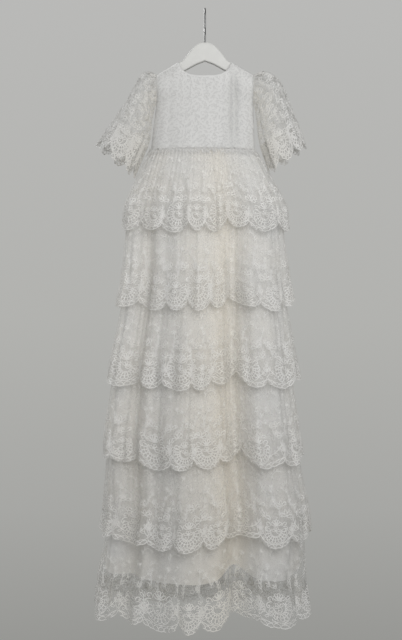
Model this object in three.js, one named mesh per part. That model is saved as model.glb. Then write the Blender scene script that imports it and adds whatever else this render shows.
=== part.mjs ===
// Christening gown with six lace tiers, hung on a small hanger. Millimetres, +Z up.
// The origin is the inside top of the hook. The front of the gown faces -Y and +X is on its viewer's right.
// Every cloth piece is a closed wall: an inner grid of points and an outer one, joined along the edges.

import * as THREE from 'three';

// Cloth
const CLOTH = 1.2;
const SEAM_GAP = 0.3;

// Heights down from the rail
const SHOULDER_NECK_Z = -111;
const SHOULDER_TIP_Z = -138;
const FRONT_NECK_Z = -143;
const BACK_NECK_Z = -131;
const UNDERARM_Z = -189.5;
const WAIST_Z = -296;
const UNDERSKIRT_HEM_Z = -1182;

// Six lace tiers, evenly spaced, each lapping over the top of the next one
const TIER_COUNT = 6;
const FIRST_HEM_Z = -471;
const TIER_DROP = 161;
const TIER_LAP = 60;
const TIER_FLARE = 15;
const TIER_WAVE = 5;
// A tier swings out fast below its seam, and its gathers deepen towards its hem
const FLARE_POWER = 0.8;
const WAVE_POWER = 1.2;
// Gathers differ in height by twice this share, in a cycle that doesn't repeat round the ring
const GATHER_UNEVEN = 0.25;
const GATHER_CYCLE = 1.7;
const SCALLOP_DEPTH = 24;

// Points round one ring of the skirt, four to a gather and five to a scallop
const RING_POINTS = 80;
const POINTS_PER_GATHER = 4;
const POINTS_PER_SCALLOP = 5;
// Each tier's gathers and scallops start this many points further round than those of the one above
const TIER_SHIFT = 2;
// The skirt's rings are flat ovals, and this draws their points closer together on the front and the back
const SIDE_SPREAD = 0.2;
// On the steepest side of a fold no more than this share of a step is taken as its run across
const LEAST_RUN = 0.2;

// Ovals of the underskirt, from the waist to the lowest hem. left and right are its sides, depth is its half
// depth, and folds is how far the big folds below have opened at that height.
const SKIRT_SECTIONS = [
  { z: WAIST_Z - SEAM_GAP, left: -113, right: 103, depth: 36, folds: 0 },
  { z: tierTopZ(1), left: -154, right: 155, depth: 52, folds: 0.35 },
  { z: tierTopZ(2), left: -160, right: 157, depth: 62, folds: 0.58 },
  { z: tierTopZ(3), left: -183, right: 171, depth: 72, folds: 0.75 },
  { z: tierTopZ(4), left: -198, right: 184, depth: 80, folds: 0.88 },
  { z: tierTopZ(5), left: -194, right: 201, depth: 88, folds: 0.95 },
  { z: UNDERSKIRT_HEM_Z, left: -211, right: 194, depth: 94, folds: 1 },
  { z: tierHemZ(5), left: -215, right: 198, depth: 97, folds: 1.04 },
];

// The skirt's big folds. turn is the place round the body in degrees from the centre front towards +X,
// spread is the half width in degrees, out is how far the fold stands forward at the hem, and lift is how
// much higher the hem hangs there.
const FOLDS = [
  { turn: 24, spread: 10, out: -66, lift: 26 },
  { turn: 51, spread: 12, out: 14, lift: 0 },
  { turn: -8, spread: 16, out: 12, lift: 0 },
  { turn: -29, spread: 5, out: -14, lift: 0 },
  { turn: -50, spread: 13, out: -24, lift: 8 },
  { turn: 90, spread: 18, out: 0, lift: 22 },
  { turn: -90, spread: 18, out: 0, lift: 24 },
  { turn: 104, spread: 9, out: -20, lift: 0 },
  { turn: 128, spread: 11, out: 13, lift: 0 },
  { turn: 150, spread: 9, out: -46, lift: 16 },
  { turn: 175, spread: 14, out: 12, lift: 0 },
  { turn: -157, spread: 8, out: -38, lift: 12 },
  { turn: -133, spread: 11, out: 12, lift: 0 },
  { turn: -110, spread: 8, out: -22, lift: 0 },
];

// Bodice. The columns run from the centre to the side seam, in degrees round the body.
const BODICE_TURNS = [0, 10, 19, 27, 32.8, 34, 45, 56, 67, 78, 90];
const NECK_COLUMN = 5;
const BODICE_HALF = 100;
const NECK_SHARPNESS = 3.2;
const FRONT_DEPTH_TOP = 27;
const FRONT_DEPTH_WAIST = 36;
const ARMHOLE_DEPTH = 15;
const SEAM_HALF = 0.2;
// Over the hanger's arm the cloth is a low roof, this deep and high
const RIDGE_HALF = 7.5;
const RIDGE_DROP = 3.5;
// Rows down the bodice. drop is a fixed distance below the shoulder or neck edge, share the part of the rest
// of the way to the waist, and round how far the cloth has come forward from its edge.
const BODICE_ROWS = [
  { drop: 0, share: 0, round: 0 },
  { drop: RIDGE_DROP, share: 0, round: 0.4 },
  { drop: 16, share: 0, round: 0.85 },
  { drop: 16, share: 0.25, round: 1 },
  { drop: 16, share: 0.5, round: 1 },
  { drop: 16, share: 0.75, round: 1 },
  { drop: 16, share: 1, round: 1 },
];
const LAP_HALF = 6;
const LAP_RISE = 2.1;
const LAP_START = 42;
// The cloth over the hanger's arm keeps clear of it down to this share of the way to the waist
const ARM_SHARE = 0.2;

// Sleeves, a row for each ring from the armhole to the hem. The out point is on the upper edge in front view
// and the in point on the lower edge. depth is the ring's half depth and ruffle the height of its gathers.
const SLEEVE_POINTS = 32;
const SLEEVE_SCALLOP = 14;
const LEFT_SLEEVE = [
  { outX: -102, outZ: -138, inX: -102, inZ: -190, depth: 15, ruffle: 0 },
  { outX: -121, outZ: -146, inX: -107, inZ: -202, depth: 24, ruffle: 1.6 },
  { outX: -138, outZ: -169, inX: -112, inZ: -219, depth: 31, ruffle: 2 },
  { outX: -153, outZ: -199, inX: -117, inZ: -243, depth: 35, ruffle: 2.2 },
  { outX: -175, outZ: -227, inX: -120, inZ: -272, depth: 38, ruffle: 2.8 },
  { outX: -199, outZ: -256, inX: -131, inZ: -304, depth: 41, ruffle: 3.4 },
  { outX: -226, outZ: -290, inX: -152, inZ: -354, depth: 43, ruffle: 4 },
];
const RIGHT_SLEEVE = [
  { outX: 102, outZ: -138, inX: 102, inZ: -190, depth: 15, ruffle: 0 },
  { outX: 127, outZ: -143, inX: 107, inZ: -202, depth: 24, ruffle: 1.6 },
  { outX: 147, outZ: -161, inX: 112, inZ: -219, depth: 31, ruffle: 2 },
  { outX: 161, outZ: -188, inX: 117, inZ: -243, depth: 35, ruffle: 2.2 },
  { outX: 177, outZ: -222, inX: 123, inZ: -270, depth: 38, ruffle: 2.8 },
  { outX: 193, outZ: -257, inX: 132, inZ: -302, depth: 41, ruffle: 3.4 },
  { outX: 209, outZ: -294, inX: 147, inZ: -346, depth: 43, ruffle: 4 },
];

// Hanger. The upper outline runs from the hook to the arm's tip, the lower one from the tip to the middle.
const HANGER_THICK = 11;
const HANGER_ROUND = 3;
const HANGER_TOP = [
  { x: 5, z: -69 },
  { x: 15, z: -72 },
  { x: 25, z: -80 },
  { x: 36, z: -93 },
  { x: 46, z: -107 },
];
const HANGER_BOTTOM = [
  { x: 88, z: -150 },
  { x: 57, z: -137 },
  { x: 38, z: -126 },
  { x: 18, z: -115 },
  { x: 0, z: -108 },
];
const HANGER_TIP_X = 93;
const HANGER_CLEAR = 1.8;
const WIRE = 3.8;
const HOOK_INNER = 19;
const HOOK_END_Z = -43;
const HOOK_BEND = { y: 5, z: -43 };
const HOOK_SHANK_Z = -54;
const HOOK_STEP_DEGREES = 20;
const WIRE_SIDES = 8;
const WIRE_STEPS = 28;
const HANGER_APEX_Z = -69;
const HANGER_ARM_X = 58;

// Buttons down the centre back
const BUTTON_COUNT = 4;
const BUTTON_RADIUS = 5;
const BUTTON_BASE = 4;
const BUTTON_CROWN = 3.5;
const BUTTON_HEIGHT = 2.6;
const BUTTON_RIM_Z = 1.2;
const BUTTON_SIDES = 12;
const BUTTON_FIRST_Z = -142;
const BUTTON_PITCH = 44;

function tierHemZ(index) {
  return FIRST_HEM_Z - TIER_DROP * index;
}

function tierTopZ(index) {
  return index === 0 ? WAIST_Z - SEAM_GAP : tierHemZ(index - 1) + TIER_LAP;
}

function material(color, roughness, metalness = 0) {
  return new THREE.MeshStandardMaterial({ color, roughness, metalness, side: THREE.DoubleSide });
}

function smooth(t) {
  const k = THREE.MathUtils.clamp(t, 0, 1);
  return k * k * (3 - 2 * k);
}

// Two grids of points, rows from the top down and columns counterclockwise seen from above, become one body.
function wallBetween(inner, outer, closed) {
  const rows = inner.length;
  const columns = inner[0].length;
  const spans = closed ? columns : columns - 1;
  const positions = [];
  for (const grid of [outer, inner]) {
    for (const row of grid) {
      for (const p of row) positions.push(p.x, p.y, p.z);
    }
  }
  const out = (r, c) => r * columns + (c % columns);
  const into = (r, c) => rows * columns + out(r, c);
  const index = [];
  const quad = (a, b, c, d) => index.push(a, b, c, a, c, d);
  for (let c = 0; c < spans; c += 1) {
    for (let r = 0; r < rows - 1; r += 1) {
      quad(out(r, c), out(r + 1, c), out(r + 1, c + 1), out(r, c + 1));
      quad(into(r, c), into(r, c + 1), into(r + 1, c + 1), into(r + 1, c));
    }
    quad(out(0, c), out(0, c + 1), into(0, c + 1), into(0, c));
    quad(out(rows - 1, c + 1), out(rows - 1, c), into(rows - 1, c), into(rows - 1, c + 1));
  }
  if (!closed) {
    for (let r = 0; r < rows - 1; r += 1) {
      quad(out(r + 1, 0), out(r, 0), into(r, 0), into(r + 1, 0));
      quad(out(r, spans), out(r + 1, spans), into(r + 1, spans), into(r, spans));
    }
  }
  const geometry = new THREE.BufferGeometry();
  geometry.setAttribute('position', new THREE.Float32BufferAttribute(positions, 3));
  geometry.setIndex(index);
  geometry.computeVertexNormals();
  return geometry;
}

// The skirt's ground is the inner face of the underskirt. At each section it keeps, for every ring point,
// a place on the folded oval and the outward way along which all cloth is stacked on it.
function ringTurn(i) {
  const t = (2 * Math.PI * i) / RING_POINTS;
  return t - SIDE_SPREAD * Math.sin(2 * t);
}

function turnAway(turn, degrees) {
  const d = turn - THREE.MathUtils.degToRad(degrees);
  return Math.atan2(Math.sin(d), Math.cos(d));
}

function foldSum(turn, column) {
  let sum = 0;
  for (const fold of FOLDS) {
    const away = turnAway(turn, fold.turn) / THREE.MathUtils.degToRad(fold.spread);
    sum += fold[column] * Math.exp(-away * away);
  }
  return sum;
}

function ovalPoint(section, turn) {
  const middle = (section.left + section.right) / 2;
  const half = (section.right - section.left) / 2;
  const away = new THREE.Vector2(section.depth * Math.sin(turn), -half * Math.cos(turn)).normalize();
  const push = section.folds * foldSum(turn, 'out');
  const place = new THREE.Vector2(middle + half * Math.sin(turn), -section.depth * Math.cos(turn));
  return { place: place.addScaledVector(away, push), away, push };
}

// On the steep side of a fold the outward way is lengthened, so that a wall keeps its thickness there.
function groundPoint(section, i) {
  const point = ovalPoint(section, ringTurn(i));
  const before = ovalPoint(section, ringTurn(i - 0.5));
  const after = ovalPoint(section, ringTurn(i + 0.5));
  const step = before.place.distanceTo(after.place);
  const rise = Math.abs(after.push - before.push);
  const run = Math.sqrt(Math.max(step * step - rise * rise, step * step * LEAST_RUN));
  return { place: point.place, away: point.away.multiplyScalar(step / run) };
}

const GROUND = SKIRT_SECTIONS.map((section) =>
  Array.from({ length: RING_POINTS }, (_, i) => groundPoint(section, i)));

function skirtPoint(i, z, off) {
  let k = 0;
  while (k < SKIRT_SECTIONS.length - 2 && z < SKIRT_SECTIONS[k + 1].z) k += 1;
  const share = (SKIRT_SECTIONS[k].z - z) / (SKIRT_SECTIONS[k].z - SKIRT_SECTIONS[k + 1].z);
  const upper = GROUND[k][i];
  const lower = GROUND[k + 1][i];
  const place = upper.place.clone().lerp(lower.place, share);
  const away = upper.away.clone().lerp(lower.away, share);
  place.addScaledVector(away, off);
  return new THREE.Vector3(place.x, place.y, z);
}

// A ring of the skirt at the heights and distances that two functions of the ring point give
function skirtRing(height, distance) {
  return Array.from({ length: RING_POINTS }, (_, i) => {
    const z = height(i);
    return skirtPoint(i, z, distance(i, z));
  });
}

function skirtWall(heights, distance) {
  const inner = heights.map((height) => skirtRing(height, distance));
  const outer = heights.map((height) => skirtRing(height, (i, z) => distance(i, z) + CLOTH));
  return wallBetween(inner, outer, true);
}

function hemLift(i) {
  return foldSum(ringTurn(i), 'lift');
}

function underskirt() {
  const rows = SKIRT_SECTIONS.slice(0, -2).map((section) => () => section.z);
  const hem = (i) => UNDERSKIRT_HEM_Z + hemLift(i);
  return skirtWall([...rows, hem], () => 0);
}

// 0 at a scallop's tip and 1 at the notch between two
function scallopRise(i, points) {
  return 1 - Math.abs(Math.sin((Math.PI * i) / points));
}

function laceTier(index) {
  const top = tierTopZ(index);
  const tip = tierHemZ(index);
  const knee = index < TIER_COUNT - 1 ? tierTopZ(index + 1) : UNDERSKIRT_HEM_Z;
  const seat = CLOTH + SEAM_GAP;
  const drift = TIER_SHIFT * index;
  const distance = (i, z) => {
    const share = (top - z) / (top - tip);
    const gather = Math.sin((2 * Math.PI * (i + drift + 1)) / POINTS_PER_GATHER);
    const number = Math.floor((i + drift) / POINTS_PER_GATHER);
    const uneven = 1 - GATHER_UNEVEN * (1 - Math.sin(GATHER_CYCLE * number + index));
    const wave = TIER_WAVE * uneven * gather * share ** WAVE_POWER;
    return seat + TIER_FLARE * share ** FLARE_POWER + wave;
  };
  const hem = (i) => {
    const rise = SCALLOP_DEPTH * scallopRise(i + drift, POINTS_PER_SCALLOP);
    const lift = hemLift(i) * SKIRT_SECTIONS[index + 1].folds;
    return tip + rise + lift;
  };
  return skirtWall([() => top, () => (top + knee) / 2, () => knee, hem], distance);
}

// Bodice
function shoulderZ(x) {
  const neckX = BODICE_HALF * Math.sin(THREE.MathUtils.degToRad(BODICE_TURNS[NECK_COLUMN]));
  const share = (Math.abs(x) - neckX) / (BODICE_HALF - neckX);
  return SHOULDER_NECK_Z + (SHOULDER_TIP_Z - SHOULDER_NECK_Z) * share;
}

// Height and half depth of the panel's upper edge at a column: the neckline, and then the shoulder seam
function upperEdge(degrees, neckZ) {
  const neckTurn = BODICE_TURNS[NECK_COLUMN];
  const u = Math.sin(THREE.MathUtils.degToRad(degrees));
  if (degrees >= neckTurn) return { z: shoulderZ(BODICE_HALF * u), depth: SEAM_HALF };
  const across = u / Math.sin(THREE.MathUtils.degToRad(BODICE_TURNS[NECK_COLUMN - 1]));
  const scoop = Math.max(0, 1 - across ** NECK_SHARPNESS) ** (2 / NECK_SHARPNESS);
  const z = SHOULDER_NECK_Z - RIDGE_DROP + (neckZ - SHOULDER_NECK_Z + RIDGE_DROP) * scoop;
  const forward = Math.sqrt(Math.max(0, 1 - across * across));
  return { z, depth: RIDGE_HALF + (FRONT_DEPTH_TOP - RIDGE_HALF) * forward };
}

function armholeDepth(z) {
  const middle = (SHOULDER_TIP_Z + UNDERARM_Z) / 2;
  const half = (SHOULDER_TIP_Z - UNDERARM_Z) / 2;
  return ARMHOLE_DEPTH * Math.sqrt(Math.max(0, 1 - ((z - middle) / half) ** 2));
}

// side is +1 on the +X half, face is -1 on the front and +1 on the back
function bodicePoint(row, degrees, side, face, neckZ) {
  const turn = THREE.MathUtils.degToRad(degrees);
  const edge = upperEdge(degrees, neckZ);
  const start = edge.z - row.drop;
  const z = start + (WAIST_Z - start) * row.share;
  const down = THREE.MathUtils.clamp((UNDERARM_Z - z) / (UNDERARM_Z - WAIST_Z), 0, 1);
  const waist = SKIRT_SECTIONS[0];
  const half = THREE.MathUtils.lerp(BODICE_HALF, (waist.right - waist.left) / 2, down);
  const middle = ((waist.right + waist.left) / 2) * down;
  const centre = THREE.MathUtils.lerp(FRONT_DEPTH_TOP, FRONT_DEPTH_WAIST, down);
  const armhole = armholeDepth(z);
  const full = armhole + (centre - armhole) * Math.cos(turn);
  let depth = edge.depth + (full - edge.depth) * row.round;
  if (row.round > 0 && row.share < ARM_SHARE && degrees >= BODICE_TURNS[NECK_COLUMN]) {
    depth = Math.max(depth, RIDGE_HALF);
  }
  depth = Math.max(depth, SEAM_HALF);
  return new THREE.Vector3(middle + side * half * Math.sin(turn), face * depth, z);
}

// Vertex normals of an open grid, from the points on either side of each one
function gridOutward(grid) {
  return grid.map((row, r) => row.map((_, c) => {
    const up = grid[Math.max(r - 1, 0)][c];
    const down = grid[Math.min(r + 1, grid.length - 1)][c];
    const left = row[Math.max(c - 1, 0)];
    const right = row[Math.min(c + 1, row.length - 1)];
    return down.clone().sub(up).cross(right.clone().sub(left)).normalize();
  }));
}

function panelWall(inner) {
  const away = gridOutward(inner);
  const outer = inner.map((row, r) => row.map((p, c) => p.clone().addScaledVector(away[r][c], CLOTH)));
  return wallBetween(inner, outer, false);
}

function bodiceFront() {
  const columns = [
    ...BODICE_TURNS.slice(1).reverse().map((degrees) => ({ degrees, side: -1 })),
    ...BODICE_TURNS.map((degrees) => ({ degrees, side: 1 })),
  ];
  return panelWall(BODICE_ROWS.map((row) =>
    columns.map(({ degrees, side }) => bodicePoint(row, degrees, side, -1, FRONT_NECK_Z))));
}

// A back half runs past the centre by the lap. The +X half lies over the other one.
function bodiceBack(side) {
  const columns = side > 0 ? [...BODICE_TURNS].reverse() : BODICE_TURNS;
  return panelWall(BODICE_ROWS.map((row) => columns.map((degrees) => {
    const p = bodicePoint(row, degrees, side, 1, BACK_NECK_Z);
    if (degrees === 0) p.x -= side * LAP_HALF;
    if (side > 0) p.y += LAP_RISE * smooth((LAP_START - p.x) / (LAP_START - LAP_HALF));
    return p;
  })));
}

// Sleeves. side is -1 on the left of the picture and +1 on the right.
function sleeve(rings, side) {
  const last = rings.length - 1;
  const ringPoint = (ring, k, i, off) => {
    const turn = (2 * Math.PI * i) / SLEEVE_POINTS;
    const along = new THREE.Vector3(ring.outX - ring.inX, 0, ring.outZ - ring.inZ).multiplyScalar(0.5);
    const half = along.length();
    along.normalize();
    const across = new THREE.Vector3(0, side, 0);
    const away = along.clone().multiplyScalar(Math.cos(turn) / half);
    away.addScaledVector(across, Math.sin(turn) / ring.depth).normalize();
    const gather = ring.ruffle * Math.sin((2 * Math.PI * (i + 1)) / POINTS_PER_GATHER);
    const p = new THREE.Vector3((ring.outX + ring.inX) / 2, 0, (ring.outZ + ring.inZ) / 2);
    p.addScaledVector(along, half * Math.cos(turn)).addScaledVector(across, ring.depth * Math.sin(turn));
    p.addScaledVector(away, gather + off);
    if (k === last) p.z += SLEEVE_SCALLOP * scallopRise(i + 2, POINTS_PER_GATHER);
    return p;
  };
  const grid = (off) => rings.map((ring, k) =>
    Array.from({ length: SLEEVE_POINTS }, (_, i) => ringPoint(ring, k, i, off)));
  return wallBetween(grid(0), grid(CLOTH), true);
}

// Hanger
function hangerBody() {
  const shape = new THREE.Shape();
  const armTop = (x) => shoulderZ(x) - HANGER_CLEAR;
  const arm = [HANGER_ARM_X, HANGER_TIP_X].map((x) => ({ x, z: armTop(x) }));
  const upper = [...HANGER_TOP, ...arm];
  const half = [...upper, ...HANGER_BOTTOM];
  const points = [
    ...half.map((p) => new THREE.Vector2(p.x, p.z)),
    ...half.slice(0, -1).reverse().map((p) => new THREE.Vector2(-p.x, p.z)),
  ];
  shape.setFromPoints(points);
  const geometry = new THREE.ExtrudeGeometry(shape, {
    depth: HANGER_THICK - 2 * HANGER_ROUND,
    bevelSize: HANGER_ROUND,
    bevelOffset: -HANGER_ROUND,
    bevelThickness: HANGER_ROUND,
    bevelSegments: 2,
  });
  geometry.translate(0, 0, HANGER_ROUND - HANGER_THICK / 2);
  geometry.rotateX(Math.PI / 2);
  return geometry;
}

// The wire's centre line: free end in front, over the rail, down behind it and in to the shank
function hookGeometry() {
  const radius = HOOK_INNER + WIRE / 2;
  const points = [new THREE.Vector3(0, -radius, HOOK_END_Z)];
  points.push(new THREE.Vector3(0, -radius, (HOOK_END_Z - HOOK_INNER) / 2));
  for (let degrees = 180; degrees >= -40; degrees -= HOOK_STEP_DEGREES) {
    const turn = THREE.MathUtils.degToRad(degrees);
    points.push(new THREE.Vector3(0, radius * Math.cos(turn), radius * Math.sin(turn) - HOOK_INNER));
  }
  points.push(new THREE.Vector3(0, HOOK_BEND.y, HOOK_BEND.z));
  points.push(new THREE.Vector3(0, 0, HOOK_SHANK_Z));
  points.push(new THREE.Vector3(0, 0, HANGER_APEX_Z + SEAM_GAP));
  const path = new THREE.CatmullRomCurve3(points, false, 'centripetal');
  const section = new THREE.Shape();
  section.absarc(0, 0, WIRE / 2, 0, 2 * Math.PI, false);
  const options = { steps: WIRE_STEPS, extrudePath: path, curveSegments: WIRE_SIDES };
  return new THREE.ExtrudeGeometry(section, options);
}

function button() {
  const profile = [
    new THREE.Vector2(0, 0),
    new THREE.Vector2(BUTTON_BASE, 0),
    new THREE.Vector2(BUTTON_RADIUS, BUTTON_RIM_Z),
    new THREE.Vector2(BUTTON_CROWN, BUTTON_HEIGHT),
    new THREE.Vector2(0, BUTTON_HEIGHT),
  ];
  return new THREE.LatheGeometry(profile, BUTTON_SIDES);
}

// The outer face of the lap at a height, on the centre back
function lapSurfaceY(z) {
  const down = THREE.MathUtils.clamp((UNDERARM_Z - z) / (UNDERARM_Z - WAIST_Z), 0, 1);
  return THREE.MathUtils.lerp(FRONT_DEPTH_TOP, FRONT_DEPTH_WAIST, down) + LAP_RISE + CLOTH;
}

const gown = new THREE.Group();

function add(name, geometry, surface) {
  const mesh = new THREE.Mesh(geometry, surface);
  mesh.name = name;
  gown.add(mesh);
  return mesh;
}

add('hanger_body', hangerBody(), material(0xdedfd9, 0.55));
add('hanger_hook', hookGeometry(), material(0xb9bcc0, 0.25, 1));
add('bodice_front', bodiceFront(), material(0xf2f0ea, 0.85));
add('bodice_back_left', bodiceBack(-1), material(0xf2f0ea, 0.85));
add('bodice_back_right', bodiceBack(1), material(0xf2f0ea, 0.85));
add('sleeve_left', sleeve(LEFT_SLEEVE, -1), material(0xece9e1, 0.9));
add('sleeve_right', sleeve(RIGHT_SLEEVE, 1), material(0xece9e1, 0.9));
add('underskirt', underskirt(), material(0xf4f3ef, 0.7));
for (let k = 0; k < TIER_COUNT; k += 1) {
  add(`lace_tier_${k + 1}`, laceTier(k), material(0xeeebe3, 0.9));
}
for (let k = 0; k < BUTTON_COUNT; k += 1) {
  const z = BUTTON_FIRST_Z - BUTTON_PITCH * k;
  const mesh = add(`button_${k + 1}`, button(), material(0xf5f3ee, 0.3));
  mesh.position.set(0, lapSurfaceY(z) + SEAM_GAP, z);
}

export default gown;
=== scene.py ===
"""Christening gown with six lace tiers, on its small hanger. Metres, in the frame's axes: the front faces -Y."""
import math

import bpy
import numpy as np
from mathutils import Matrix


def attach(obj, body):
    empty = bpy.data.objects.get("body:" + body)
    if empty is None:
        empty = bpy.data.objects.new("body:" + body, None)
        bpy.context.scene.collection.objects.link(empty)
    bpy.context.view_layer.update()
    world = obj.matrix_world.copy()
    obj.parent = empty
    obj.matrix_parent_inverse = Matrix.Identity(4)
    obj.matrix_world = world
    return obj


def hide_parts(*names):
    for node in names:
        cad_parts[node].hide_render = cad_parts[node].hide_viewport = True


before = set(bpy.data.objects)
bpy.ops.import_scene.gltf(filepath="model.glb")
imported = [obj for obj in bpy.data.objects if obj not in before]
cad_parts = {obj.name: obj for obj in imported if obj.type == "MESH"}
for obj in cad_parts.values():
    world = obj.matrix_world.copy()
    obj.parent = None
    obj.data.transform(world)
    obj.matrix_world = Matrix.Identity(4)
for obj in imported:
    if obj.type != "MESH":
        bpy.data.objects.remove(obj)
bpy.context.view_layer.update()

MM = 0.001
CLOTH = 1.2 * MM
SEAM_GAP = 0.3 * MM
SEAM_LAP = 2.5 * MM

# Heights below the rail
WAIST_Z = -296 * MM
SHOULDER_NECK_Z = -111 * MM
SHOULDER_TIP_Z = -138 * MM
FRONT_NECK_Z = -143 * MM
BACK_NECK_Z = -131 * MM
UNDERARM_Z = -189.5 * MM
UNDERSKIRT_HEM_Z = -1182 * MM

# Lace tiers
TIERS = 6
FIRST_HEM_Z = -471 * MM
TIER_DROP = 161 * MM
TIER_LAP = 60 * MM
TIER_FLARE = 16 * MM
TIER_WAVE = 3.25 * MM
FINE_GATHER = 1.0 * MM
SCALLOP_DEPTH = 24 * MM
SCALLOPS = 16
WIDE_SHARE = 0.57
BORDER = 82 * MM
GATHERS = 20
SIDE_SPREAD = 0.2


def hem_z(index):
    return FIRST_HEM_Z - TIER_DROP * index


def top_z(index):
    return WAIST_Z + SEAM_LAP if index == 0 else hem_z(index - 1) + TIER_LAP


# Height, left side, right side, half depth (mm) and how far the big folds have opened
SECTIONS = np.array([
    (WAIST_Z / MM, -113, 103, 36, 0.0),
    (top_z(1) / MM, -154, 155, 52, 0.35),
    (top_z(2) / MM, -160, 157, 62, 0.58),
    (top_z(3) / MM, -183, 171, 72, 0.75),
    (top_z(4) / MM, -198, 184, 80, 0.88),
    (top_z(5) / MM, -194, 201, 88, 0.95),
    (UNDERSKIRT_HEM_Z / MM, -211, 194, 94, 1.0),
    (hem_z(5) / MM, -215, 198, 97, 1.04),
])

# Big folds: place round the body in degrees from the centre front, half width in degrees, how far it stands
# forward at the hem and how much higher the hem hangs there (mm)
FOLDS = [
    (21.5, 10, -52, 26), (51, 12, 14, 0), (-8, 16, 12, 0), (-29, 8, -10, 0), (-50, 13, -24, 8),
    (90, 18, 0, 22), (-90, 18, 0, 24), (104, 9, -20, 0), (128, 11, 13, 0), (150, 9, -46, 16),
    (175, 14, 12, 0), (-157, 8, -38, 12), (-133, 11, 12, 0), (-110, 8, -22, 0),
]

# Lesser folds that every layer shares, uneven in place, width and depth
LESSER_FOLDS = [
    (11, 4.0, 7), (-17, 3.2, -5), (-2, 3.0, 4), (36, 3.5, 5), (44, 2.6, -5), (62, 3.4, -7),
    (-38, 3.2, 6), (-60, 4.0, -6), (-72, 3.0, 5), (78, 3.2, 5), (117, 3.4, -6), (139, 3.2, 6),
    (166, 3.2, -6), (-172, 3.6, 5), (-145, 3.2, -6), (-122, 3.4, 6), (-98, 3.0, -5),
]


# Helpers

def smoothstep(t):
    t = np.clip(t, 0, 1)
    return t * t * (3 - 2 * t)


def unit(vectors):
    return vectors / np.maximum(np.linalg.norm(vectors, axis=-1, keepdims=True), 1e-12)


def distances(points):
    """Distance of each point along their line."""
    return np.concatenate([[0], np.cumsum(np.linalg.norm(np.diff(points, axis=0), axis=1))])


def around(values, place):
    """A ring's values at places from 0 to 1 round it."""
    return np.interp(place, np.arange(len(values) + 1) / len(values), np.append(values, values[0]))


def ripple(rng, u, low, high, count=9):
    """A smooth random wave round a ring, u from 0 to 1, with low to high cycles and a mean square of 1."""
    cycles = rng.integers(low, high + 1, count)
    phases = rng.uniform(0, 2 * math.pi, count)
    sizes = rng.uniform(0.5, 1, count)
    wave = sum(s * np.sin(2 * math.pi * c * u + p) for c, p, s in zip(cycles, phases, sizes))
    return wave / math.sqrt(0.5 * float((sizes ** 2).sum()))


def bump_sum(turn, rows, column):
    """Sum of the folds' bell curves at each turn."""
    total = np.zeros_like(turn)
    for row in rows:
        away = turn - math.radians(row[0])
        away = np.arctan2(np.sin(away), np.cos(away)) / math.radians(row[1])
        total += row[column] * np.exp(-away * away)
    return total * MM


FINE_Z = np.linspace(SECTIONS[0, 0], SECTIONS[-1, 0], 240)


def smoothed(column):
    """A section column against height, with its corners rounded over about 30 mm."""
    values = np.interp(-FINE_Z, -SECTIONS[:, 0], SECTIONS[:, column])
    window = np.hanning(9)
    padded = np.pad(values, 4, mode="reflect", reflect_type="odd")
    return np.convolve(padded, window / window.sum(), mode="valid")


SMOOTH = {name: smoothed(k) for k, name in enumerate(("left", "right", "depth", "folds"), 1)}


def section(name, z):
    return np.interp(-z / MM, -FINE_Z, SMOOTH[name])


# Painted warm shade: where the layers gather behind one another in the deep folds the cloth is tinted warmer, standing
# in for the shaded recess and the light bounced into it: degrees round, half width, strength
WARM_SHADE = [
    (14.5, 12, 0.9), (-6, 9, 0.3), (-50, 12, 0.3), (150, 13, 0.6), (-157, 12, 0.5),
    (104, 12, 0.25), (-110, 12, 0.25),
]


# How much painted warm shade lies at each place, more as the big folds open
def painted_warm_shade(turn, z):
    return np.clip(bump_sum(turn, WARM_SHADE, 2) / MM * (0.45 + 0.55 * section("folds", z)), 0, 1)


def ground(turn, z):
    """Place on the folded oval and the way outward, for arrays of turn and z."""
    left, right = section("left", z) * MM, section("right", z) * MM
    depth, folds = section("depth", z) * MM, section("folds", z)

    def at(t):
        half = (right - left) / 2
        away = unit(np.stack([depth * np.sin(t), -half * np.cos(t)], -1))
        push = folds * (bump_sum(t, FOLDS, 2) + 0.7 * bump_sum(t, LESSER_FOLDS, 2))
        place = np.stack([(left + right) / 2 + half * np.sin(t), -depth * np.cos(t)], -1)
        return place + away * push[..., None], away, push

    place, away, _ = at(turn)
    near = math.radians(1.5)
    before, _, push_before = at(turn - near)
    after, _, push_after = at(turn + near)
    step = np.linalg.norm(after - before, axis=-1)
    rise = np.abs(push_after - push_before)
    run = np.sqrt(np.maximum(step ** 2 - rise ** 2, 0.2 * step ** 2))
    return place, away * (step / run)[..., None]


# Shares of the way down at which the lace and the cut of a gathered cloth are measured round
LACE_MEASURE = 0.7
CUT_MEASURE = 0.55


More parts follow.
